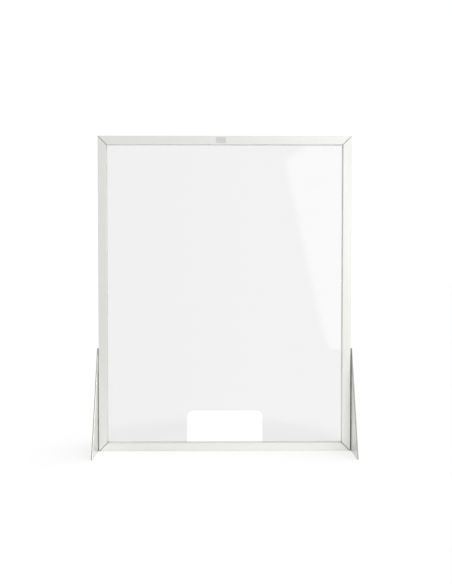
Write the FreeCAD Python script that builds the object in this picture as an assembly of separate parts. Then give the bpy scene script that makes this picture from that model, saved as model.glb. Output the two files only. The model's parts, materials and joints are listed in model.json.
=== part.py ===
"""Sneeze guard: a clear sheet in a mitred aluminium frame that stands on two triangular feet.

Millimetres, +Z up, +X to the right and -Y towards the guest who stands in front of the guard.
The origin is the centre of the frame's underside, on the counter. A serving hatch is cut into
the sheet, open down to the bottom rail. Each foot is screwed to slot nuts in the outer slot of
its post, so that it slides along the post once its screws are loosened.
"""

import FreeCAD, Part

import math
import os

Vector = FreeCAD.Vector
X_AXIS = Vector(1, 0, 0)
Y_AXIS = Vector(0, 1, 0)
Z_AXIS = Vector(0, 0, 1)
ORIGIN = Vector(0, 0, 0)

# The frame as a whole. One extrusion is cut to four lengths, mitred at the corners.
FRAME_WIDTH = 610.0
FRAME_HEIGHT = 762.0
PROFILE = 20.0
EDGE_RADIUS = 0.8
MITRE_GAP = 0.4

# Slot along the extrusion's outer side, for slot nuts.
SLOT_MOUTH = 6.0
SLOT_LIP = 1.8
SLOT_WIDTH = 11.5
SLOT_DEPTH = 4.0

# Chamber in the middle of the extrusion, for the corner keys.
WEB = 1.5
CHAMBER_WIDTH = 13.6
CHAMBER_DEPTH = 4.0

# Groove along the extrusion's inner side, for the sheet and its seal, with a hollow each side.
GROOVE_WIDTH = 5.0
GROOVE_DEPTH = 7.0
GROOVE_WALL = 1.3
SKIN = 1.5

# Clear sheet and its serving hatch.
SHEET = 3.0
SEAL_BASE = 0.8
SEAL_LIP = 0.8
HATCH_WIDTH = 185.0
HATCH_CLEAR_HEIGHT = 78.5
HATCH_RADIUS = 17.0
SHEET_CORNER_RADIUS = 1.0
SHEET_BEVEL = 0.3

# Corner keys, held by grub screws that a hex key reaches through the outer slot.
KEY_LEG = 38.0
KEY_CLEARANCE = 0.1
KEY_SCREW_AT = 26.0
KEY_BEVEL = 0.8
ACCESS_HOLE = 4.6

# Feet.
FOOT_BASE = 200.0
FOOT_HEIGHT = 250.0
FOOT_TOP = 8.0
FOOT_SHEET = 3.0
FOOT_CORNER_RADIUS = 2.0
FOOT_BEVEL = 0.4
FOOT_SPACER = 1.5
FOOT_SCREW_HEIGHTS = (70.0, 185.0)

# M5 fasteners.
THREAD = 5.0
THREAD_CLEARANCE = 0.1
SCREW_LENGTH = 10.0
SCREW_HEAD = 9.5
SCREW_HEAD_HEIGHT = 2.75
SCREW_HEAD_FLAT = 4.2
SCREW_DOME_HEIGHT_SHARE = 0.62
SCREW_DOME_RADIUS_SHARE = 0.86
SCREW_POINT_BEVEL = 0.5
SCREW_HEX = 3.0
SCREW_HEX_DEPTH = 1.6
GRUB_LENGTH = 3.8
GRUB_HEX = 2.5
GRUB_HEX_DEPTH = 2.0
SCREW_HOLE = 5.5
WASHER = 12.0
NUT_LENGTH = 16.0
NUT_THICKNESS = 3.3
NUT_CLEARANCE = 0.2

# Blank label on the top rail.
LABEL_WIDTH = 24.0
LABEL_HEIGHT = 14.0
LABEL_THICKNESS = 0.4
LABEL_RADIUS = 1.5
LABEL_OFFSET = -9.0

# Depths from the extrusion's outer side, worked out from the sizes above.
SLOT_FLOOR = SLOT_LIP + SLOT_DEPTH
CHAMBER_TOP = SLOT_FLOOR + WEB
CHAMBER_FLOOR = CHAMBER_TOP + CHAMBER_DEPTH
GROOVE_FLOOR = PROFILE - GROOVE_DEPTH
SHEET_EDGE = GROOVE_FLOOR + SEAL_BASE
HATCH_TOP = PROFILE + HATCH_CLEAR_HEIGHT
KEY_THICKNESS = CHAMBER_DEPTH - 2 * KEY_CLEARANCE

# Turn about +Y that carries a length built along the bottom of the frame to each side.
SIDE_TURNS = {"bottom": 0, "right": -90, "top": 180, "left": 90}


def rounded_outline(corners, radius):
    """Closed wire through the corners, each rounded to the radius."""
    tangents = []
    arcs = []
    for index, corner in enumerate(corners):
        before = (corners[index - 1] - corner).normalize()
        after = (corners[(index + 1) % len(corners)] - corner).normalize()
        half_angle = before.getAngle(after) / 2
        reach = radius / math.tan(half_angle)
        inward = (before + after).normalize()
        middle = corner + inward * (radius / math.sin(half_angle) - radius)
        start = corner + before * reach
        end = corner + after * reach
        tangents.append((start, end))
        arcs.append(Part.Arc(start, middle, end).toShape())
    edges = []
    for index, arc in enumerate(arcs):
        edges.append(arc)
        next_start = tangents[(index + 1) % len(arcs)][0]
        edges.append(Part.makeLine(tangents[index][1], next_start))
    return Part.Wire(edges)


def solid_from(wire, depth):
    """Solid swept from a flat closed wire along the depth vector."""
    return Part.Face(wire).extrude(depth)


def bar(length, half_width, low, high, offset=0.0):
    """Rectangular bar along X, low to high above the outer side, centred offset from mid-depth."""
    corner = Vector(-length / 2, offset - half_width, low)
    return Part.makeBox(length, 2 * half_width, high - low, corner)


def mitred(shape, length):
    """The shape cut at 45 degrees at both ends, leaving half the mitre gap at each."""
    reach = length / 2 - MITRE_GAP / math.sqrt(2)
    inner = reach - 2 * PROFILE
    corners = [
        Vector(-reach, -PROFILE, 0),
        Vector(reach, -PROFILE, 0),
        Vector(inner, -PROFILE, 2 * PROFILE),
        Vector(-inner, -PROFILE, 2 * PROFILE),
    ]
    outline = Part.makePolygon(corners + corners[:1])
    return shape.common(solid_from(outline, Y_AXIS * 2 * PROFILE))


def on_side(shape, side):
    """Carries a shape built along the bottom, with its outer side at z = 0, to a side."""
    vertical = side in ("left", "right")
    reach = (FRAME_WIDTH if vertical else FRAME_HEIGHT) / 2
    placed = shape.copy()
    placed.translate(Z_AXIS * -reach)
    placed.rotate(ORIGIN, Y_AXIS, SIDE_TURNS[side])
    placed.translate(Z_AXIS * (FRAME_HEIGHT / 2))
    return placed


def side_length(side):
    """Outside length of the frame along a side."""
    return FRAME_HEIGHT if side in ("left", "right") else FRAME_WIDTH


def frame_length(side):
    """One mitred length of the extrusion, with access holes for its two grub screws."""
    length = side_length(side)
    half = PROFILE / 2
    outline = [
        Vector(-length / 2, -half, 0),
        Vector(-length / 2, half, 0),
        Vector(-length / 2, half, PROFILE),
        Vector(-length / 2, -half, PROFILE),
    ]
    body = solid_from(rounded_outline(outline, EDGE_RADIUS), X_AXIS * length)
    hollow_inner = GROOVE_WIDTH / 2 + GROOVE_WALL
    hollow_outer = half - SKIN
    hollow_half = (hollow_outer - hollow_inner) / 2
    hollow_middle = (hollow_outer + hollow_inner) / 2
    cuts = [
        bar(length, SLOT_MOUTH / 2, 0, SLOT_LIP),
        bar(length, SLOT_WIDTH / 2, SLOT_LIP, SLOT_FLOOR),
        bar(length, CHAMBER_WIDTH / 2, CHAMBER_TOP, CHAMBER_FLOOR),
        bar(length, GROOVE_WIDTH / 2, GROOVE_FLOOR, PROFILE),
        bar(length, hollow_half, GROOVE_FLOOR, PROFILE - SKIN, hollow_middle),
        bar(length, hollow_half, GROOVE_FLOOR, PROFILE - SKIN, -hollow_middle),
    ]
    for end in (-1, 1):
        hole_at = Vector(end * (length / 2 - KEY_SCREW_AT), 0, SLOT_FLOOR)
        cuts.append(Part.makeCylinder(ACCESS_HOLE / 2, WEB, hole_at))
    return on_side(mitred(body.cut(cuts), length), side)


def seal(side):
    """U-shaped seal that fills the groove of one side and holds the sheet's edge."""
    length = side_length(side)
    body = bar(length, GROOVE_WIDTH / 2, GROOVE_FLOOR, PROFILE + SEAL_LIP)
    body = body.cut(bar(length, SHEET / 2, SHEET_EDGE, PROFILE + SEAL_LIP))
    return on_side(mitred(body, length), side)


def clear_sheet():
    """Clear sheet with polished edges; the hatch runs down to the sheet's lower edge."""
    half = FRAME_WIDTH / 2 - SHEET_EDGE
    front = -SHEET / 2
    outline = [
        Vector(-half, front, SHEET_EDGE),
        Vector(half, front, SHEET_EDGE),
        Vector(half, front, FRAME_HEIGHT - SHEET_EDGE),
        Vector(-half, front, FRAME_HEIGHT - SHEET_EDGE),
    ]
    sheet = solid_from(rounded_outline(outline, SHEET_CORNER_RADIUS), Y_AXIS * SHEET)
    hatch_half = HATCH_WIDTH / 2
    hatch = [
        Vector(-hatch_half, front, -HATCH_TOP),
        Vector(hatch_half, front, -HATCH_TOP),
        Vector(hatch_half, front, HATCH_TOP),
        Vector(-hatch_half, front, HATCH_TOP),
    ]
    sheet = sheet.cut(solid_from(rounded_outline(hatch, HATCH_RADIUS), Y_AXIS * SHEET))
    rim = [edge for edge in sheet.Edges if lies_in_a_face_plane(edge, Y_AXIS, SHEET / 2)]
    return sheet.makeChamfer(SHEET_BEVEL, rim)


def lies_in_a_face_plane(edge, direction, distance, centre=0.0):
    """True if the whole edge lies the distance from the centre, measured along the direction."""
    box = edge.BoundBox
    low = direction.dot(Vector(box.XMin, box.YMin, box.ZMin)) - centre
    high = direction.dot(Vector(box.XMax, box.YMax, box.ZMax)) - centre
    tolerance = 0.01
    return abs(abs(low) - distance) < tolerance and abs(high - low) < tolerance


def hexagon_hole(across_flats, depth):
    """Hexagonal prism that runs from the origin along -X."""
    corner_radius = across_flats / math.sqrt(3)
    corners = []
    for index in range(7):
        angle = math.radians(60 * index)
        corners.append(Vector(0, corner_radius * math.cos(angle), corner_radius * math.sin(angle)))
    return solid_from(Part.makePolygon(corners), X_AXIS * -depth)


def button_screw():
    """Button-head screw along X with its underhead face at x = 0 and its thread towards -X."""
    thread_radius = THREAD / 2
    head_radius = SCREW_HEAD / 2
    flat_radius = SCREW_HEAD_FLAT / 2
    dome = Part.Arc(
        Vector(0, head_radius, 0),
        Vector(SCREW_DOME_HEIGHT_SHARE * SCREW_HEAD_HEIGHT, SCREW_DOME_RADIUS_SHARE * head_radius, 0),
        Vector(SCREW_HEAD_HEIGHT, flat_radius, 0),
    ).toShape()
    below = Part.makePolygon([
        Vector(SCREW_HEAD_HEIGHT, flat_radius, 0),
        Vector(SCREW_HEAD_HEIGHT, 0, 0),
        Vector(-SCREW_LENGTH, 0, 0),
        Vector(-SCREW_LENGTH, thread_radius - SCREW_POINT_BEVEL, 0),
        Vector(-SCREW_LENGTH + SCREW_POINT_BEVEL, thread_radius, 0),
        Vector(0, thread_radius, 0),
        Vector(0, head_radius, 0),
    ])
    half_section = Part.Face(Part.Wire([dome] + below.Edges))
    screw = half_section.revolve(ORIGIN, X_AXIS, 360)
    socket = hexagon_hole(SCREW_HEX, SCREW_HEX_DEPTH)
    socket.translate(X_AXIS * SCREW_HEAD_HEIGHT)
    return screw.cut(socket)


def grub_screw():
    """Grub screw along X with its socket end at x = 0 and its point towards -X."""
    radius = THREAD / 2
    half_section = Part.makePolygon([
        Vector(0, 0, 0),
        Vector(0, radius, 0),
        Vector(-GRUB_LENGTH + SCREW_POINT_BEVEL, radius, 0),
        Vector(-GRUB_LENGTH, radius - SCREW_POINT_BEVEL, 0),
        Vector(-GRUB_LENGTH, 0, 0),
        Vector(0, 0, 0),
    ])
    screw = Part.Face(half_section).revolve(ORIGIN, X_AXIS, 360)
    return screw.cut(hexagon_hole(GRUB_HEX, GRUB_HEX_DEPTH))


def corner_key():
    """L-shaped key with legs along +X and +Z from the frame's outer corner at the origin."""
    half = CHAMBER_WIDTH / 2 - KEY_CLEARANCE
    near = CHAMBER_TOP
    far = near + KEY_THICKNESS
    outline = Part.makePolygon([
        Vector(near, -half, near),
        Vector(KEY_LEG, -half, near),
        Vector(KEY_LEG, -half, far),
        Vector(far, -half, far),
        Vector(far, -half, KEY_LEG),
        Vector(near, -half, KEY_LEG),
        Vector(near, -half, near),
    ])
    key = solid_from(outline, Y_AXIS * 2 * half)
    ends = [
        edge
        for edge in key.Edges
        if lies_in_a_face_plane(edge, X_AXIS, KEY_LEG) or lies_in_a_face_plane(edge, Z_AXIS, KEY_LEG)
    ]
    key = key.makeChamfer(KEY_BEVEL, ends)
    radius = (THREAD + THREAD_CLEARANCE) / 2
    hole_along_z = Part.makeCylinder(radius, KEY_LEG, Vector(KEY_SCREW_AT, 0, 0), Z_AXIS)
    hole_along_x = Part.makeCylinder(radius, KEY_LEG, Vector(0, 0, KEY_SCREW_AT), X_AXIS)
    return key.cut([hole_along_z, hole_along_x])


def corner_grubs():
    """The two grub screws of one corner, which press on the inner wall of the chamber."""
    socket_depth = CHAMBER_FLOOR - GRUB_LENGTH
    lower = grub_screw()
    lower.rotate(ORIGIN, Y_AXIS, 90)
    lower.translate(Vector(KEY_SCREW_AT, 0, socket_depth))
    upper = grub_screw()
    upper.rotate(ORIGIN, Y_AXIS, 180)
    upper.translate(Vector(socket_depth, 0, KEY_SCREW_AT))
    return [lower, upper]


def at_corner(shape, vertical, horizontal):
    """Carries a shape built at the lower left corner to the named corner of the frame."""
    turns = {
        ("bottom", "left"): 0,
        ("bottom", "right"): -90,
        ("top", "right"): 180,
        ("top", "left"): 90,
    }
    x = FRAME_WIDTH / 2 if horizontal == "right" else -FRAME_WIDTH / 2
    z = FRAME_HEIGHT if vertical == "top" else 0
    placed = shape.copy()
    placed.rotate(ORIGIN, Y_AXIS, turns[(vertical, horizontal)])
    placed.translate(Vector(x, 0, z))
    return placed


def foot_plate():
    """Right foot: an upright triangular plate, square to the sheet and spaced off the post."""
    inner_face = FRAME_WIDTH / 2 + FOOT_SPACER
    outline = [
        Vector(inner_face, -FOOT_BASE / 2, 0),
        Vector(inner_face, FOOT_BASE / 2, 0),
        Vector(inner_face, FOOT_TOP / 2, FOOT_HEIGHT),
        Vector(inner_face, -FOOT_TOP / 2, FOOT_HEIGHT),
    ]
    plate = solid_from(rounded_outline(outline, FOOT_CORNER_RADIUS), X_AXIS * FOOT_SHEET)
    middle = inner_face + FOOT_SHEET / 2
    rim = [
        edge
        for edge in plate.Edges
        if lies_in_a_face_plane(edge, X_AXIS, FOOT_SHEET / 2, middle)
    ]
    plate = plate.makeChamfer(FOOT_BEVEL, rim)
    holes = [
        Part.makeCylinder(SCREW_HOLE / 2, FOOT_SHEET, Vector(inner_face, 0, height), X_AXIS)
        for height in FOOT_SCREW_HEIGHTS
    ]
    return plate.cut(holes)


def foot_washer():
    """Spacer washer between the post's outer side and the right foot, on the X axis."""
    start = Vector(FRAME_WIDTH / 2, 0, 0)
    ring = Part.makeCylinder(WASHER / 2, FOOT_SPACER, start, X_AXIS)
    return ring.cut(Part.makeCylinder(SCREW_HOLE / 2, FOOT_SPACER, start, X_AXIS))


def foot_screw():
    """Button-head screw through the right foot, its washer and the slot, on the X axis."""
    screw = button_screw()
    screw.translate(X_AXIS * (FRAME_WIDTH / 2 + FOOT_SPACER + FOOT_SHEET))
    return screw


def slot_nut():
    """T-shaped nut under the lips of the right post's outer slot, on the X axis."""
    outer = FRAME_WIDTH / 2
    neck_half = SLOT_MOUTH / 2 - NUT_CLEARANCE
    flange_half = SLOT_WIDTH / 2 - NUT_CLEARANCE
    lip_inner = outer - SLOT_LIP
    neck_corner = Vector(lip_inner, -neck_half, -NUT_LENGTH / 2)
    neck = Part.makeBox(SLOT_LIP - NUT_CLEARANCE, 2 * neck_half, NUT_LENGTH, neck_corner)
    flange_corner = Vector(lip_inner - NUT_THICKNESS, -flange_half, -NUT_LENGTH / 2)
    flange = Part.makeBox(NUT_THICKNESS, 2 * flange_half, NUT_LENGTH, flange_corner)
    radius = (THREAD + THREAD_CLEARANCE) / 2
    hole = Part.makeCylinder(radius, PROFILE, Vector(outer - PROFILE, 0, 0), X_AXIS)
    return flange.fuse(neck).removeSplitter().cut(hole)


def at_screw_heights(shape):
    """One copy of a foot's fastening piece at each screw height."""
    copies = []
    for height in FOOT_SCREW_HEIGHTS:
        placed = shape.copy()
        placed.translate(Z_AXIS * height)
        copies.append(placed)
    return Part.makeCompound(copies)


def left_from_right(shape):
    """The same piece on the left: every foot piece has the same front and back."""
    turned = shape.copy()
    turned.rotate(ORIGIN, Z_AXIS, 180)
    return turned


def blank_label():
    """Blank label on the front face of the top rail."""
    front = -PROFILE / 2 - LABEL_THICKNESS
    left = LABEL_OFFSET - LABEL_WIDTH / 2
    right = LABEL_OFFSET + LABEL_WIDTH / 2
    middle = FRAME_HEIGHT - PROFILE / 2
    low = middle - LABEL_HEIGHT / 2
    high = middle + LABEL_HEIGHT / 2
    outline = [
        Vector(left, front, low),
        Vector(right, front, low),
        Vector(right, front, high),
        Vector(left, front, high),
    ]
    return solid_from(rounded_outline(outline, LABEL_RADIUS), Y_AXIS * LABEL_THICKNESS)


def all_pieces():
    """Every separate piece of the guard, by name."""
    pieces = {"clear_sheet": clear_sheet(), "blank_label": blank_label()}
    for side in SIDE_TURNS:
        kind = "post" if side in ("left", "right") else "rail"
        pieces[f"{side}_{kind}"] = frame_length(side)
        pieces[f"{side}_seal"] = seal(side)

    grubs = []
    for vertical in ("bottom", "top"):
        for horizontal in ("left", "right"):
            name = f"corner_key_{vertical}_{horizontal}"
            pieces[name] = at_corner(corner_key(), vertical, horizontal)
            grubs += [at_corner(grub, vertical, horizontal) for grub in corner_grubs()]
    pieces["corner_grub_screws"] = Part.makeCompound(grubs)

    foot_pieces = {
        "foot": foot_plate(),
        "foot_washers": at_screw_heights(foot_washer()),
        "foot_screws": at_screw_heights(foot_screw()),
        "slot_nuts": at_screw_heights(slot_nut()),
    }
    for name, shape in foot_pieces.items():
        pieces[f"right_{name}"] = shape
        pieces[f"left_{name}"] = left_from_right(shape)
    return pieces


os.makedirs("parts", exist_ok=True)
for piece_name, piece in all_pieces().items():
    piece.exportStep(f"parts/{piece_name}.step")
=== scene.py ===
"""Looks of the sneeze guard: materials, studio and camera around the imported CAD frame.

Metres, in the frame's own axes: +X right, -Y towards the guest, +Z up. Every texture is laid out
in object coordinates, which are the frame's coordinates at rest, so it moves with its piece.
"""

import json
import math

import bpy
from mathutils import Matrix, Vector

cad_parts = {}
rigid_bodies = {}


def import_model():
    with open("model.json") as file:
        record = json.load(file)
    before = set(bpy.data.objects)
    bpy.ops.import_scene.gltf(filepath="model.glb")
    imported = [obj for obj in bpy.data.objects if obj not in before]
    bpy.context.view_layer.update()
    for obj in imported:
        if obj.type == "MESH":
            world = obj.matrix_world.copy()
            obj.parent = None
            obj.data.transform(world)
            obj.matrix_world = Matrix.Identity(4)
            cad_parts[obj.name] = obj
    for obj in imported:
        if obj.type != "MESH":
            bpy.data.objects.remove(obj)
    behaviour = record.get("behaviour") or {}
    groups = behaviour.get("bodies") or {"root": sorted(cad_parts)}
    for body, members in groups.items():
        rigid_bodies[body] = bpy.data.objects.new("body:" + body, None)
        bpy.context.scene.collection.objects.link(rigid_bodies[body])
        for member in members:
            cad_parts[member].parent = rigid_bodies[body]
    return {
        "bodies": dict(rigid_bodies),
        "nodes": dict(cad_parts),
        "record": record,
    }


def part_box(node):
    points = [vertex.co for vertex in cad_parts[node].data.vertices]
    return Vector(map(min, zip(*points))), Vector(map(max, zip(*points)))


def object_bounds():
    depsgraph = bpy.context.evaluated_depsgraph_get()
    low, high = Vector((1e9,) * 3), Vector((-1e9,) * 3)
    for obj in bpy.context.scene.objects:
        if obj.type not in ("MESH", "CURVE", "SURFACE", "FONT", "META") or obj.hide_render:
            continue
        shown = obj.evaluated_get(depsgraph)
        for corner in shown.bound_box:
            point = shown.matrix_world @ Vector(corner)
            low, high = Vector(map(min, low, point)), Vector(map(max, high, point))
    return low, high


MM = 0.001
X, Y, Z = 0, 1, 2

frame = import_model()
nodes = frame["nodes"]
cad_low, cad_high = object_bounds()
CENTRE = (cad_low + cad_high) / 2

# Outer size of the mitred frame, from the far corner of its right post.
_, POST_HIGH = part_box("right_post")
FRAME_HALF_WIDTH = POST_HIGH.x
FRAME_TOP = POST_HIGH.z


# ---------------------------------------------------------------------------------------------
# Node shorthand
# ---------------------------------------------------------------------------------------------

# Cosine between the rounded and the true normal on a flat face, and where an edge is fully worn.
FLAT_COSINE = 0.999
EDGE_COSINE = 0.93

# Range that most noise values lie in.
MOST_NOISE = (0.2, 0.8)


def feed(tree, socket, value):
    """Sets an input to a value, or links another node's output socket to it."""
    if isinstance(value, bpy.types.NodeSocket):
        tree.links.new(value, socket)
    else:
        socket.default_value = value


def node(tree, kind, inputs=None, **settings):
    """Adds a shader node. Each input takes a value or another node's output socket."""
    made = tree.nodes.new("ShaderNode" + kind)
    for name, value in settings.items():
        setattr(made, name, value)
    for key, value in (inputs or {}).items():
        feed(tree, made.inputs[key], value)
    return made


def maths(tree, operation, first, second=0.0, clamp=False):
    """Output of one Math node."""
    inputs = {0: first, 1: second}
    return node(tree, "Math", inputs, operation=operation, use_clamp=clamp).outputs[0]


def plus(tree, first, second):
    """The two values added."""
    return maths(tree, "ADD", first, second)


def minus(tree, first, second):
    """The first value less the second."""
    return maths(tree, "SUBTRACT", first, second)


def times(tree, first, second):
    """The two values multiplied."""
    return maths(tree, "MULTIPLY", first, second)


def absolute(tree, value):
    """The value without its sign."""
    return maths(tree, "ABSOLUTE", value)


def spread(tree, value, start, end, at_start=0.0, at_end=1.0):
    """Eases from at_start to at_end as the value goes from start to end, and is level outside."""
    inputs = {"Value": value, "From Min": start, "From Max": end,
              "To Min": at_start, "To Max": at_end}
    return node(tree, "MapRange", inputs, interpolation_type="SMOOTHSTEP").outputs["Result"]


def blended(tree, factor, first, second):
    """Output colour of one Mix node, from the first colour at factor 0 to the second at 1."""
    mix = node(tree, "Mix", {0: factor}, data_type="RGBA")
    first_input, second_input = [socket for socket in mix.inputs if socket.type == "RGBA"]
    feed(tree, first_input, first)
    feed(tree, second_input, second)
    return [socket for socket in mix.outputs if socket.type == "RGBA"][0]


def tinted(tree, colour, mask, share, tint):
    """The colour, with that share of the tint in it where the mask is 1."""
    return blended(tree, times(tree, mask, share), colour, tint)


def noise(tree, place, per_metre, detail=2.0, roughness=0.5):
    """Noise between 0 and 1, with about that many features to the metre."""
    inputs = {"Vector": place, "Scale": per_metre, "Detail": detail, "Roughness": roughness}
    return node(tree, "TexNoise", inputs).outputs["Fac"]


def stretched(tree, place, scales, shift=(0, 0, 0)):
    """The place with each axis scaled on its own, then shifted.

    A small scale draws a texture out along its axis.
    """
    inputs = {"Vector": place, "Scale": scales, "Location": shift}
    return node(tree, "Mapping", inputs).outputs["Vector"]


def bump(tree, height, depth, strength, normal=None):
    """Normal bumped by a height between 0 and 1 that stands for the depth in metres."""
    inputs = {"Height": height, "Distance": depth, "Strength": strength}
    if normal is not None:
        inputs["Normal"] = normal
    return node(tree, "Bump", inputs).outputs["Normal"]


def grey(level, warmth=0.0):
    """Neutral colour of a linear level; warmth lowers its blue."""
    return (level, level, level * (1 - warmth), 1.0)


def new_material(name):
    """An empty node material and its tree, place (object coordinates) and output."""
    material = bpy.data.materials.new(name)
    material.use_nodes = True
    tree = material.node_tree
    tree.nodes.clear()
    place = node(tree, "TexCoord").outputs["Object"]
    output = node(tree, "OutputMaterial")
    return material, tree, place, output


def principled(tree, output, inputs):
    """Ends a material in one Principled surface with those inputs."""
    surface = node(tree, "BsdfPrincipled", inputs)
    tree.links.new(surface.outputs[0], output.inputs["Surface"])


def parts_of(tree, vector):
    """The X, Y and Z outputs of a vector."""
    return node(tree, "SeparateXYZ", {"Vector": vector}).outputs


def facing(tree, axis):
    """Cosine between a face and the axis: 1 on faces square to it, 0 on faces along it."""
    face = node(tree, "NewGeometry").outputs["True Normal"]
    return absolute(tree, parts_of(tree, face)[axis])


def worn_edges(tree, radius):
    """The normal with edges rounded to the radius, and a mask: 1 at edges, 0 on flat faces."""
    bevel = node(tree, "Bevel", {"Radius": radius}, samples=6).outputs["Normal"]
    face = node(tree, "NewGeometry").outputs["Normal"]
    cosine = node(tree, "VectorMath", {0: bevel, 1: face}, operation="DOT_PRODUCT").outputs["Value"]
    return bevel, spread(tree, cosine, FLAT_COSINE, EDGE_COSINE)


def ray_is(tree, kind):
    """1 for rays of that kind: "Camera" rays, or "Singular" rays, which left a polished face."""
    return node(tree, "LightPath").outputs[f"Is {kind} Ray"]


# ---------------------------------------------------------------------------------------------
# Aluminium
# ---------------------------------------------------------------------------------------------

# The satin anodised finish that the extrusion and the foot plates share.
SATIN_ROUGHNESS = (0.24, 0.33)
LINE_DEPTH = 0.012 * MM
ETCH_DEPTH = 0.006 * MM

# How far the roughness rises in the mottling and on a plate's rim, and falls in the scuffs.
MOTTLED_ROUGHER = 0.05
RIM_ROUGHER = 0.12
SCUFFED_SMOOTHER = 0.05

# The extrusion's colours. A pair is the two colours that a pattern runs between.
EXTRUSION_GREYS = (grey(0.86, 0.03), grey(0.91, 0.026))
DIE_LINE_GREY = grey(0.8, 0.035)
WIDE_LINE_GREY = grey(0.95, 0.03)
EXTRUSION_EDGE = grey(0.95)
JOINT_DIRT = grey(0.14, 0.06)
SAWN_GREY = grey(0.62)

# The foot plates' colours.
PLATE_GREYS = (grey(0.76, 0.02), grey(0.82, 0.016))
PLATE_GRAIN = grey(0.7, 0.025)
PLATE_RIM = grey(0.42, 0.02)
PLATE_EDGE = grey(0.9)
FOOT_PAINTED_SHADE = grey(0.1, 0.06)

# Scale along the extrusion, up a plate's face and across its rim that draws noise into lines.
DRAWN_OUT = 0.004
GRAIN_OUT = 0.01
CUT_OUT = 0.02

# Distances off a mitred joint at which its dirt ends and at which it is full.
DIRT_END = 1.9 * MM
DIRT_FULL = 0.5 * MM

# The painted shade on a foot's inner face, which stands in for the shaded crevice beside its post:
# how far to either side of the post it ends and is full, how high it is full and how high it has
# thinned to its upper share, and its share on the left foot.
PAINTED_SHADE_END = 16 * MM
PAINTED_SHADE_FULL = 9 * MM
PAINTED_SHADE_LOW = 20 * MM
PAINTED_SHADE_HIGH = 100 * MM
PAINTED_SHADE_SHARE_ABOVE = 0.6
PAINTED_SHADE_ON_LEFT = 0.1


def satin_normal(tree, bevel, lines, etch, etch_strength):
    """The bevelled normal, bumped by the metal's lines and by a fine etch."""
    normal = bump(tree, lines, LINE_DEPTH, strength=0.5, normal=bevel)
    return bump(tree, etch, ETCH_DEPTH, etch_strength, normal)


def mitre_dirt(tree, place):
    """1 in the mitred joints at the frame's corners, fading to 0 just beside them."""
    x, _, z = parts_of(tree, place)
    from_side = minus(tree, FRAME_HALF_WIDTH, absolute(tree, x))
    from_middle = absolute(tree, minus(tree, z, FRAME_TOP / 2))
    from_end = minus(tree, FRAME_TOP / 2, from_middle)
    off_joint = absolute(tree, minus(tree, from_side, from_end))
    return spread(tree, off_joint, DIRT_END, DIRT_FULL)


def drawn_aluminium(name, axis):
    """Satin anodised extrusion: die lines along its length, a fine etch and faint mottling."""
    material, tree, place, output = new_material(name)
    scales = [1.0, 1.0, 1.0]
    scales[axis] = DRAWN_OUT
    drawn = stretched(tree, place, scales)
    die_lines = noise(tree, drawn, per_metre=900, detail=3, roughness=0.65)
    wide_lines = noise(tree, drawn, per_metre=160)
    etch = noise(tree, place, per_metre=5000, detail=1)
    mottling = noise(tree, place, per_metre=9, detail=4, roughness=0.6)
    patches = noise(tree, place, per_metre=60, detail=5, roughness=0.7)
    scuffs = spread(tree, patches, start=0.66, end=0.78)
    bevel, edge = worn_edges(tree, radius=0.5 * MM)
    sawn_end = spread(tree, facing(tree, axis), start=0.3, end=0.8)

    colour = blended(tree, mottling, *EXTRUSION_GREYS)
    die_line_share = spread(tree, die_lines, start=0.3, end=0.75, at_end=0.35)
    colour = blended(tree, die_line_share, colour, DIE_LINE_GREY)
    wide_line_share = spread(tree, wide_lines, start=0.35, end=0.7, at_end=0.25)
    colour = blended(tree, wide_line_share, colour, WIDE_LINE_GREY)
    colour = tinted(tree, colour, edge, share=0.6, tint=EXTRUSION_EDGE)
    colour = tinted(tree, colour, mitre_dirt(tree, place), share=0.85, tint=JOINT_DIRT)
    colour = tinted(tree, colour, sawn_end, share=0.4, tint=SAWN_GREY)

    roughness = spread(tree, die_lines, *MOST_NOISE, *SATIN_ROUGHNESS)
    roughness = plus(tree, roughness, times(tree, mottling, MOTTLED_ROUGHER))
    roughness = minus(tree, roughness, times(tree, scuffs, SCUFFED_SMOOTHER))

    principled(tree, output, {
        "Base Color": colour,
        "Metallic": 0.93,
        "Roughness": roughness,
        "Normal": satin_normal(tree, bevel, die_lines, etch, etch_strength=0.35),
    })
    return material


def painted_shade_behind_post(tree, place):
    """Painted shade: 1 on the strip of a foot's inner face that lies against its post, near the
    counter.

    It is fainter higher up, and far fainter on the left foot.
    """
    x, y, z = parts_of(tree, place)
    face = node(tree, "NewGeometry").outputs["True Normal"]
    outward = times(tree, x, parts_of(tree, face)[X])
    faces_post = maths(tree, "LESS_THAN", outward, 0.0)
    strip = spread(tree, absolute(tree, y), PAINTED_SHADE_END, PAINTED_SHADE_FULL)
    by_height = spread(tree, z, PAINTED_SHADE_HIGH, PAINTED_SHADE_LOW, at_start=PAINTED_SHADE_SHARE_ABOVE)
    by_side = spread(tree, x, -FRAME_HALF_WIDTH, FRAME_HALF_WIDTH, at_start=PAINTED_SHADE_ON_LEFT)
    strip = times(tree, times(tree, strip, by_height), by_side)
    return times(tree, faces_post, strip)


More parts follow.
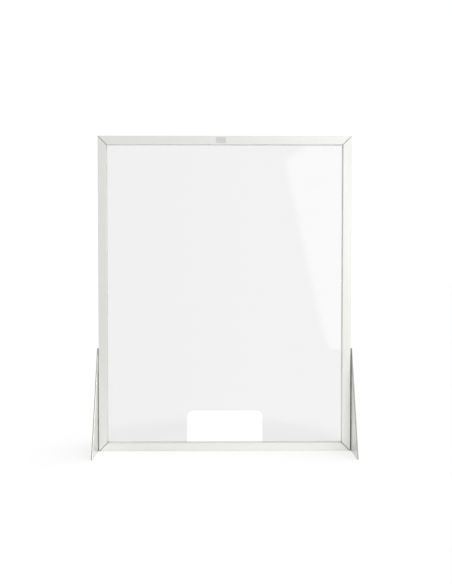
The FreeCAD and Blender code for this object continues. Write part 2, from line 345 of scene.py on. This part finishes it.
def plate_aluminium(name):
    """Satin anodised plate: a fine upright grain on its faces and laser-cut lines on its rim."""
    material, tree, place, output = new_material(name)
    upright = stretched(tree, place, (1, 1, GRAIN_OUT))
    across = stretched(tree, place, (CUT_OUT, 1, 1))
    grain = noise(tree, upright, per_metre=1400, detail=3, roughness=0.6)
    cut_lines = noise(tree, across, per_metre=2600)
    etch = noise(tree, place, per_metre=5200, detail=1)
    mottling = noise(tree, place, per_metre=14, detail=4, roughness=0.6)
    bevel, edge = worn_edges(tree, radius=0.4 * MM)
    rim = spread(tree, facing(tree, X), start=0.6, end=0.2)

    colour = blended(tree, mottling, *PLATE_GREYS)
    grain_share = spread(tree, grain, start=0.3, end=0.75, at_end=0.3)
    colour = blended(tree, grain_share, colour, PLATE_GRAIN)
    cut_share = spread(tree, cut_lines, start=0.3, end=0.7, at_start=0.75)
    colour = blended(tree, times(tree, rim, cut_share), colour, PLATE_RIM)
    colour = tinted(tree, colour, edge, share=0.15, tint=PLATE_EDGE)
    # Painted shade darkens the crevice where each foot's inner face lies against its post.
    colour = tinted(tree, colour, painted_shade_behind_post(tree, place), share=0.9, tint=FOOT_PAINTED_SHADE)

    roughness = spread(tree, grain, *MOST_NOISE, *SATIN_ROUGHNESS)
    roughness = plus(tree, roughness, times(tree, rim, RIM_ROUGHER))

    lines = blended(tree, rim, grain, cut_lines)
    principled(tree, output, {
        "Base Color": colour,
        "Metallic": 0.9,
        "Roughness": roughness,
        "Normal": satin_normal(tree, bevel, lines, etch, etch_strength=0.3),
    })
    return material


# ---------------------------------------------------------------------------------------------
# Clear sheet
# ---------------------------------------------------------------------------------------------

ACRYLIC_IOR = 1.49
ACRYLIC_TINT = grey(0.949)
SMEAR_TINT = grey(0.92)
CUT_EDGE_TINT = (0.86, 0.9, 0.9, 1.0)
UNSEEN_TINT = grey(0.99)
DUST_GREY = grey(0.9)
WARP_DEPTH = 1 * MM

# Scale up the sheet that draws its warp out, and across it that draws the wiped smears out.
WARPED_OUT = 0.55
WIPED_OUT = 0.35

# Cover of pale dust in a full smear, on a speck and along the cut edges.
SMEAR_DUST = 0.25
SPECK_DUST = 0.5
CUT_EDGE_DUST = 0.35


def acrylic_tint(tree, smears, cut_edge):
    """The sheet greys what the camera sees through it.

    Other rays pass almost untouched, so that the sheet casts hardly any shadow.
    """
    tint = blended(tree, smears, ACRYLIC_TINT, SMEAR_TINT)
    tint = blended(tree, cut_edge, tint, CUT_EDGE_TINT)
    return blended(tree, ray_is(tree, "Camera"), UNSEEN_TINT, tint)


def acrylic_reflectance(tree, normal):
    """Share of the light that a polished face of the sheet reflects, from outside or inside."""
    inside = node(tree, "NewGeometry").outputs["Backfacing"]
    ior = spread(tree, inside, 0, 1, ACRYLIC_IOR, 1 / ACRYLIC_IOR)
    return node(tree, "Fresnel", {"IOR": ior, "Normal": normal}).outputs[0]


def clear_acrylic(name):
    """Clear sheet: a faint grey tint, a slightly wavy polished face, smears, and pale cut edges."""
    material, tree, place, output = new_material(name)
    cut_edge = spread(tree, facing(tree, Y), start=0.9, end=0.3)
    warp = noise(tree, stretched(tree, place, (1, 1, WARPED_OUT)), per_metre=3.2, detail=1)
    normal = bump(tree, warp, WARP_DEPTH, strength=0.5)
    sideways = stretched(tree, place, (WIPED_OUT, 1, 1))
    wiped = noise(tree, sideways, per_metre=22, detail=6, roughness=0.62)
    smears = spread(tree, wiped, start=0.5, end=0.85, at_end=0.05)
    specks = spread(tree, noise(tree, place, per_metre=420), start=0.74, end=0.8, at_end=0.12)

    tint = acrylic_tint(tree, smears, cut_edge)
    through = node(tree, "BsdfTransparent", {"Color": tint}).outputs[0]
    shine = node(tree, "BsdfGlossy", {"Color": grey(1.0), "Roughness": 0.0, "Normal": normal})
    reflected = acrylic_reflectance(tree, normal)
    clear = node(tree, "MixShader", {0: reflected, 1: through, 2: shine.outputs[0]}).outputs[0]

    haze = node(tree, "BsdfDiffuse", {"Color": DUST_GREY}).outputs[0]
    dust = plus(tree, times(tree, smears, SMEAR_DUST), times(tree, specks, SPECK_DUST))
    dust = maths(tree, "ADD", dust, times(tree, cut_edge, CUT_EDGE_DUST), clamp=True)
    surface = node(tree, "MixShader", {0: dust, 1: clear, 2: haze}).outputs[0]
    tree.links.new(surface, output.inputs["Surface"])
    return material


# ---------------------------------------------------------------------------------------------
# Small parts
# ---------------------------------------------------------------------------------------------

RUBBER_GREYS = (grey(0.86), grey(0.93))
RUBBER_EDGE = grey(0.9)
RUBBER_ROUGHNESS = (0.6, 0.8)

ZINC_COLOURS = ((0.5, 0.53, 0.58, 1.0), (0.66, 0.64, 0.56, 1.0))
ZINC_EDGE = grey(0.75)
ZINC_ROUGHNESS = (0.28, 0.42)
CRYSTAL_RANGE = (0.0, 0.8)

STAINLESS_GREYS = (grey(0.55, 0.02), grey(0.68, 0.01))
STAINLESS_EDGE = grey(0.85)
STAINLESS_ROUGHNESS = (0.2, 0.34)

NYLON_GREYS = (grey(0.42), grey(0.5))
NYLON_EDGE = grey(0.6)
NYLON_ROUGHNESS = (0.45, 0.6)

FILM_GREYS = (grey(0.68), grey(0.8))
FILM_CLOUD = grey(0.84)
FILM_EDGE = grey(0.85)
FILM_ROUGHNESS = (0.4, 0.55)
BRUSHED_OUT = 0.02


def grey_rubber(name):
    """Extruded seal: pale matt rubber with a dusty bloom and fine pores."""
    material, tree, place, output = new_material(name)
    bloom = noise(tree, place, per_metre=300, detail=4, roughness=0.6)
    pores = noise(tree, place, per_metre=2600)
    bevel, edge = worn_edges(tree, radius=0.2 * MM)
    colour = blended(tree, bloom, *RUBBER_GREYS)
    principled(tree, output, {
        "Base Color": tinted(tree, colour, edge, share=0.4, tint=RUBBER_EDGE),
        "Roughness": spread(tree, bloom, *MOST_NOISE, *RUBBER_ROUGHNESS),
        "Subsurface Weight": 0.6,
        "Subsurface Radius": (1.0, 1.0, 0.95),
        "Subsurface Scale": 3 * MM,
        "Normal": bump(tree, pores, depth=0.03 * MM, strength=0.4, normal=bevel),
    })
    return material


def zinc_plate(name):
    """Zinc plated steel: bluish grey with a cloudy passivated film and a crystalline grain."""
    material, tree, place, output = new_material(name)
    cloud = noise(tree, place, per_metre=90, detail=3)
    crystals = node(tree, "TexVoronoi", {"Vector": place, "Scale": 1500}).outputs["Distance"]
    bevel, edge = worn_edges(tree, radius=0.3 * MM)
    colour = blended(tree, cloud, *ZINC_COLOURS)
    principled(tree, output, {
        "Base Color": tinted(tree, colour, edge, share=0.5, tint=ZINC_EDGE),
        "Metallic": 1.0,
        "Roughness": spread(tree, crystals, *CRYSTAL_RANGE, *ZINC_ROUGHNESS),
        "Normal": bump(tree, crystals, depth=0.02 * MM, strength=0.4, normal=bevel),
    })
    return material


def turned_rings(tree, place):
    """Noise in rings round the axis of the nearer foot screw, all of which lie along X."""
    low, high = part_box("right_foot_screws")
    half_head = (high.y - low.y) / 2
    lower = low.z + half_head
    upper = high.z - half_head
    _, y, z = parts_of(tree, place)
    is_upper = maths(tree, "GREATER_THAN", z, (lower + upper) / 2)
    screw_height = plus(tree, lower, times(tree, is_upper, upper - lower))
    above = minus(tree, z, screw_height)
    squares = plus(tree, times(tree, y, y), times(tree, above, above))
    off_axis = node(tree, "CombineXYZ", {"X": maths(tree, "SQRT", squares)}).outputs[0]
    return noise(tree, off_axis, per_metre=4200)


def turned_stainless(name):
    """Stainless screws: faintly stained, with fine turned rings and rubbed edges."""
    material, tree, place, output = new_material(name)
    rings = turned_rings(tree, place)
    stain = noise(tree, place, per_metre=400, detail=3)
    bevel, edge = worn_edges(tree, radius=0.25 * MM)
    colour = blended(tree, stain, *STAINLESS_GREYS)
    principled(tree, output, {
        "Base Color": tinted(tree, colour, edge, share=0.6, tint=STAINLESS_EDGE),
        "Metallic": 1.0,
        "Roughness": spread(tree, rings, *MOST_NOISE, *STAINLESS_ROUGHNESS),
        "Normal": bump(tree, rings, depth=0.02 * MM, strength=0.4, normal=bevel),
    })
    return material


def grey_nylon(name):
    """Moulded nylon washers: mid grey, with a dull moulded skin and rubbed rims."""
    material, tree, place, output = new_material(name)
    skin = noise(tree, place, per_metre=1800, detail=3, roughness=0.6)
    bevel, edge = worn_edges(tree, radius=0.25 * MM)
    colour = blended(tree, skin, *NYLON_GREYS)
    principled(tree, output, {
        "Base Color": tinted(tree, colour, edge, share=0.5, tint=NYLON_EDGE),
        "Roughness": spread(tree, skin, *MOST_NOISE, *NYLON_ROUGHNESS),
        "Normal": bump(tree, skin, depth=0.03 * MM, strength=0.4, normal=bevel),
    })
    return material


def label_film(name):
    """Blank metallised label: brushed, cloudy grey film with a paler cut edge."""
    material, tree, place, output = new_material(name)
    brushed = noise(tree, stretched(tree, place, (BRUSHED_OUT, 1, 1)), per_metre=2200)
    cloud = noise(tree, place, per_metre=220, detail=3)
    bevel, edge = worn_edges(tree, radius=0.2 * MM)
    colour = blended(tree, brushed, *FILM_GREYS)
    colour = tinted(tree, colour, cloud, share=0.3, tint=FILM_CLOUD)
    principled(tree, output, {
        "Base Color": tinted(tree, colour, edge, share=0.5, tint=FILM_EDGE),
        "Metallic": 0.5,
        "Roughness": spread(tree, brushed, *MOST_NOISE, *FILM_ROUGHNESS),
        "Normal": bump(tree, brushed, depth=0.01 * MM, strength=0.5, normal=bevel),
    })
    return material


def dress_nodes():
    """Gives every CAD node the material of its slot."""
    by_slot = {
        "foot_aluminium": plate_aluminium("satin_plate"),
        "clear_acrylic": clear_acrylic("clear_acrylic_sheet"),
        "grey_seal": grey_rubber("grey_rubber"),
        "zinc_plated_steel": zinc_plate("zinc_plate"),
        "stainless_steel": turned_stainless("turned_stainless"),
        "nylon": grey_nylon("grey_nylon"),
        "label_film": label_film("blank_label_film"),
    }
    lying = drawn_aluminium("drawn_aluminium_lying", X)
    upright = drawn_aluminium("drawn_aluminium_upright", Z)
    for row in frame["record"]["subparts"]:
        name = row["node"]
        if row["material_slot"] == "frame_aluminium":
            material = upright if name.endswith("post") else lying
        else:
            material = by_slot[row["material_slot"]]
        nodes[name].data.materials.clear()
        nodes[name].data.materials.append(material)


# ---------------------------------------------------------------------------------------------
# Studio
# ---------------------------------------------------------------------------------------------

# The studio has three sets of levels, all as linear radiance: what the camera sees directly, what
# the polished sheet mirrors, and what lights the object.

# Seen by the camera: one white for the background and the unshadowed floor.
WHITE = 1.01

# Lighting the object: the room's level by a direction's X, from the far left to the far right. It
# rises over the range ROOM_RISE, and falls off again over the range at each end.
ROOM_LEFT_END = 0.32
ROOM_LEFT = 0.58
ROOM_RIGHT = 1.12
ROOM_RIGHT_END = 0.84
ROOM_RISE = (-0.8, 0.55)
LEFT_FALL = (-0.3, -0.9)
RIGHT_FALL = (0.5, 0.95)
KEY_LEVEL = 1.25

# Mirrored in the sheet: the softbox, and the dim studio behind the camera, which brightens with
# the X of the direction over MIRRORED_RISE.
MIRRORED_KEY = 1.5
MIRRORED_ROOM = (0.48, 0.7)
MIRRORED_RISE = (-0.16, 0.08)

# The mirrored floor is painted: a painted shadow, black in the middle, then a painted pale ring,
# palest at the radius RING, and as pale as the dim studio beyond RING_OUTER. The ring is a little
# narrower from side to side.
MIRRORED_RING = 1.06
RING_INNER = 0.32
RING = 0.5
RING_OUTER = 1.3
RING_NARROWING = 1.15
RING_CENTRE_X = -0.02

# FLOOR_LIGHT is the room's level averaged over the sky above the floor. The camera sees the floor
# reflect FLOOR_ALBEDO_SEEN of it and glow with the rest of WHITE, so that only shadows show. The
# floor's bounce onto the object rises from left to right within BOUNCE_REACH of the middle.
FLOOR_HALF = 30.0
FLOOR_ALBEDO = 0.88
FLOOR_ALBEDO_SEEN = 0.4
FLOOR_LIGHT = 0.829
FLOOR_BOUNCE = (0.18, 0.36)
BOUNCE_REACH = 0.4
FAR_BOUNCE = 0.2


def mirrored_room(tree, heading):
    """Level of the dim studio in the sheet's mirror image, for a ray's heading to the right."""
    return spread(tree, heading, *MIRRORED_RISE, *MIRRORED_ROOM)


def studio_room():
    """White to the camera, dim in the sheet's mirror image, and brighter to the right elsewhere."""
    world = bpy.data.worlds.new("studio_room")
    world.use_nodes = True
    tree = world.node_tree
    tree.nodes.clear()
    direction = node(tree, "TexCoord").outputs["Generated"]
    right = parts_of(tree, direction)[X]
    right_fall = spread(tree, right, *RIGHT_FALL, at_end=ROOM_RIGHT - ROOM_RIGHT_END)
    left_fall = spread(tree, right, *LEFT_FALL, at_end=ROOM_LEFT - ROOM_LEFT_END)
    room = spread(tree, right, *ROOM_RISE, ROOM_LEFT, ROOM_RIGHT)
    room = minus(tree, room, right_fall)
    room = minus(tree, room, left_fall)
    level = blended(tree, ray_is(tree, "Singular"), room, mirrored_room(tree, right))
    level = blended(tree, ray_is(tree, "Camera"), level, grey(WHITE))
    background = node(tree, "Background", {"Color": level}).outputs[0]
    output = node(tree, "OutputWorld")
    tree.links.new(background, output.inputs["Surface"])
    bpy.context.scene.world = world


def stage_mesh(name, corners, faces):
    """A mesh of the stage, which isn't part of the object."""
    mesh = bpy.data.meshes.new(name)
    mesh.from_pydata(corners, [], faces)
    made = bpy.data.objects.new(name, mesh)
    bpy.context.scene.collection.objects.link(made)
    return made


def keep_under_feet(floor):
    """Lowers the floor with the lower foot, so that the guard stands on it when a foot slides."""
    driver = floor.driver_add("location", Z).driver
    driver.type = "MIN"
    for body in ("left_foot_set", "right_foot_set"):
        variable = driver.variables.new()
        variable.name = body
        variable.type = "TRANSFORMS"
        variable.targets[0].id = frame["bodies"][body]
        variable.targets[0].transform_type = "LOC_Z"


def mirrored_floor(tree, distance):
    """Level of the floor in the sheet's mirror image: the dim studio's, times the painted shadow
    and pale ring.
    """
    rising = spread(tree, distance, RING_INNER, RING, at_end=MIRRORED_RING)
    falling = spread(tree, distance, RING, RING_OUTER, at_end=MIRRORED_RING - 1)
    backward = parts_of(tree, node(tree, "NewGeometry").outputs["Incoming"])[X]
    studio = mirrored_room(tree, times(tree, backward, -1))
    return times(tree, studio, minus(tree, rising, falling))


def floor_bounce(tree, place, distance):
    """Light that the floor throws up at the object, more from the right and less from far off."""
    bounce = spread(tree, parts_of(tree, place)[X], -BOUNCE_REACH, BOUNCE_REACH, *FLOOR_BOUNCE)
    return times(tree, bounce, spread(tree, distance, RING, RING_OUTER, 1, FAR_BOUNCE))


def pale_floor():
    """Plain white floor that meets the white background; only contact shadows show on it."""
    half = FLOOR_HALF
    corners = [(-half, -half, 0), (half, -half, 0), (half, half, 0), (-half, half, 0)]
    floor = stage_mesh("floor", corners, [(0, 1, 2, 3)])
    material, tree, place, output = new_material("pale_floor")
    oval = stretched(tree, place, (RING_NARROWING, 1, 1), (-RING_CENTRE_X * RING_NARROWING, 0, 0))
    distance = node(tree, "VectorMath", {0: oval}, operation="LENGTH").outputs["Value"]

    albedo = blended(tree, ray_is(tree, "Camera"), grey(FLOOR_ALBEDO), grey(FLOOR_ALBEDO_SEEN))
    albedo = blended(tree, ray_is(tree, "Singular"), albedo, grey(0.0))
    seen = grey(WHITE - FLOOR_ALBEDO_SEEN * FLOOR_LIGHT)
    glow = blended(tree, ray_is(tree, "Camera"), floor_bounce(tree, place, distance), seen)
    glow = blended(tree, ray_is(tree, "Singular"), glow, mirrored_floor(tree, distance))

    paint = node(tree, "BsdfDiffuse", {"Color": albedo}).outputs[0]
    emission = node(tree, "Emission", {"Color": glow, "Strength": 1.0}).outputs[0]
    surface = node(tree, "AddShader", {0: paint, 1: emission}).outputs[0]
    tree.links.new(surface, output.inputs["Surface"])
    floor.data.materials.append(material)
    keep_under_feet(floor)


# The key softbox stands this far in front of the sheet, and this wide a rim of it fades out. Its
# corners are given as the directions, in degrees right of and above level, in which the camera
# sees them mirrored in the sheet.
KEY_DISTANCE = 2.4
KEY_EDGE = 0.05
KEY_CORNERS = [(4.9, 8.2), (9.0, 11.3), (15, 11.3), (15, -6.6),
               (9.0, -6.0), (8.2, -5.7), (7.8, -4.8)]


def inset(corners, width):
    """The corners of a flat outline, each moved so that every side shifts inwards by the width."""
    moved = []
    for index, corner in enumerate(corners):
        before = (corners[index - 1] - corner).normalized()
        after = (corners[(index + 1) % len(corners)] - corner).normalized()
        inward = (before + after).normalized()
        moved.append(corner + inward * width / math.sin(before.angle(after) / 2))
    return moved


def key_outline():
    """The softbox's corners, each where the camera sees it mirrored in its direction."""
    camera_place = CENTRE + CAMERA_OFFSET
    reach = KEY_DISTANCE - CAMERA_OFFSET.y
    corners = []
    for right, up in KEY_CORNERS:
        x = camera_place.x + reach * math.tan(math.radians(right))
        z = camera_place.z + reach * math.tan(math.radians(up))
        corners.append(Vector((x, -KEY_DISTANCE, z)))
    return corners


def softbox_cloth():
    """Glows evenly on the object. In the sheet it is bright, down to the dim studio at its rim."""
    material, tree, _, output = new_material("softbox_cloth")
    inner = node(tree, "Attribute", attribute_name="inner").outputs["Fac"]
    mirrored = spread(tree, inner, 0, 1, MIRRORED_ROOM[1], MIRRORED_KEY)
    level = blended(tree, ray_is(tree, "Singular"), grey(KEY_LEVEL), mirrored)
    emission = node(tree, "Emission", {"Color": level, "Strength": 1.0}).outputs[0]
    tree.links.new(emission, output.inputs["Surface"])
    return material


def key_softbox():
    """Softbox to the right of the camera; the clear sheet mirrors its slanted left edge."""
    corners = key_outline()
    count = len(corners)
    following = [(i + 1) % count for i in range(count)]
    rim = [(i, following[i], following[i] + count, i + count) for i in range(count)]
    middle = tuple(range(count, 2 * count))
    points = inset(corners, -KEY_EDGE / 2) + inset(corners, KEY_EDGE / 2)
    box = stage_mesh("key_softbox", points, rim + [middle])
    inner = box.data.attributes.new("inner", "FLOAT", "POINT")
    inner.data.foreach_set("value", [0.0] * count + [1.0] * count)
    box.visible_camera = False
    box.visible_shadow = False
    box.data.materials.append(softbox_cloth())


# A second softbox on the right lights the left foot's inner face, and nothing else.
SIDE_PLACE = Vector((1.6, -0.8, 0.75))
SIDE_WIDTH = 1.6
SIDE_HEIGHT = 1.5
SIDE_RADIANCE = 3.6


def side_softbox():
    """Rectangular light from the right, pointed at the frame's middle, for the left foot alone."""
    data = bpy.data.lights.new("side_softbox", "AREA")
    data.shape = "RECTANGLE"
    data.size = SIDE_WIDTH
    data.size_y = SIDE_HEIGHT
    data.energy = SIDE_RADIANCE * SIDE_WIDTH * SIDE_HEIGHT * math.pi
    lamp = bpy.data.objects.new("side_softbox", data)
    lamp.location = SIDE_PLACE
    lamp.rotation_euler = (CENTRE - SIDE_PLACE).to_track_quat("-Z", "Y").to_euler()
    bpy.context.scene.collection.objects.link(lamp)
    receivers = bpy.data.collections.new("side_softbox_receivers")
    receivers.objects.link(nodes["left_foot"])
    lamp.light_linking.receiver_collection = receivers


# The camera stands on the guest's side of the counter, a little left of the frame's middle, and
# aims close to the middle. Both offsets are from the middle of the guard.
CAMERA_OFFSET = Vector((-0.0125, -1.852, 0.055))
AIM_OFFSET = Vector((0.003, 0.0, 0.0055))
LENS_MM = 47.03
SENSOR_MM = 36.0


def studio_camera():
    """Camera at the photograph's viewing angle."""
    data = bpy.data.cameras.new("camera")
    data.lens = LENS_MM
    data.sensor_width = SENSOR_MM
    camera = bpy.data.objects.new("camera", data)
    camera.location = CENTRE + CAMERA_OFFSET
    look = AIM_OFFSET - CAMERA_OFFSET
    camera.rotation_euler = look.to_track_quat("-Z", "Y").to_euler()
    bpy.context.scene.collection.objects.link(camera)
    bpy.context.scene.camera = camera


dress_nodes()
studio_room()
pale_floor()
key_softbox()
side_softbox()
studio_camera()
bpy.context.scene.view_settings.view_transform = "Standard"
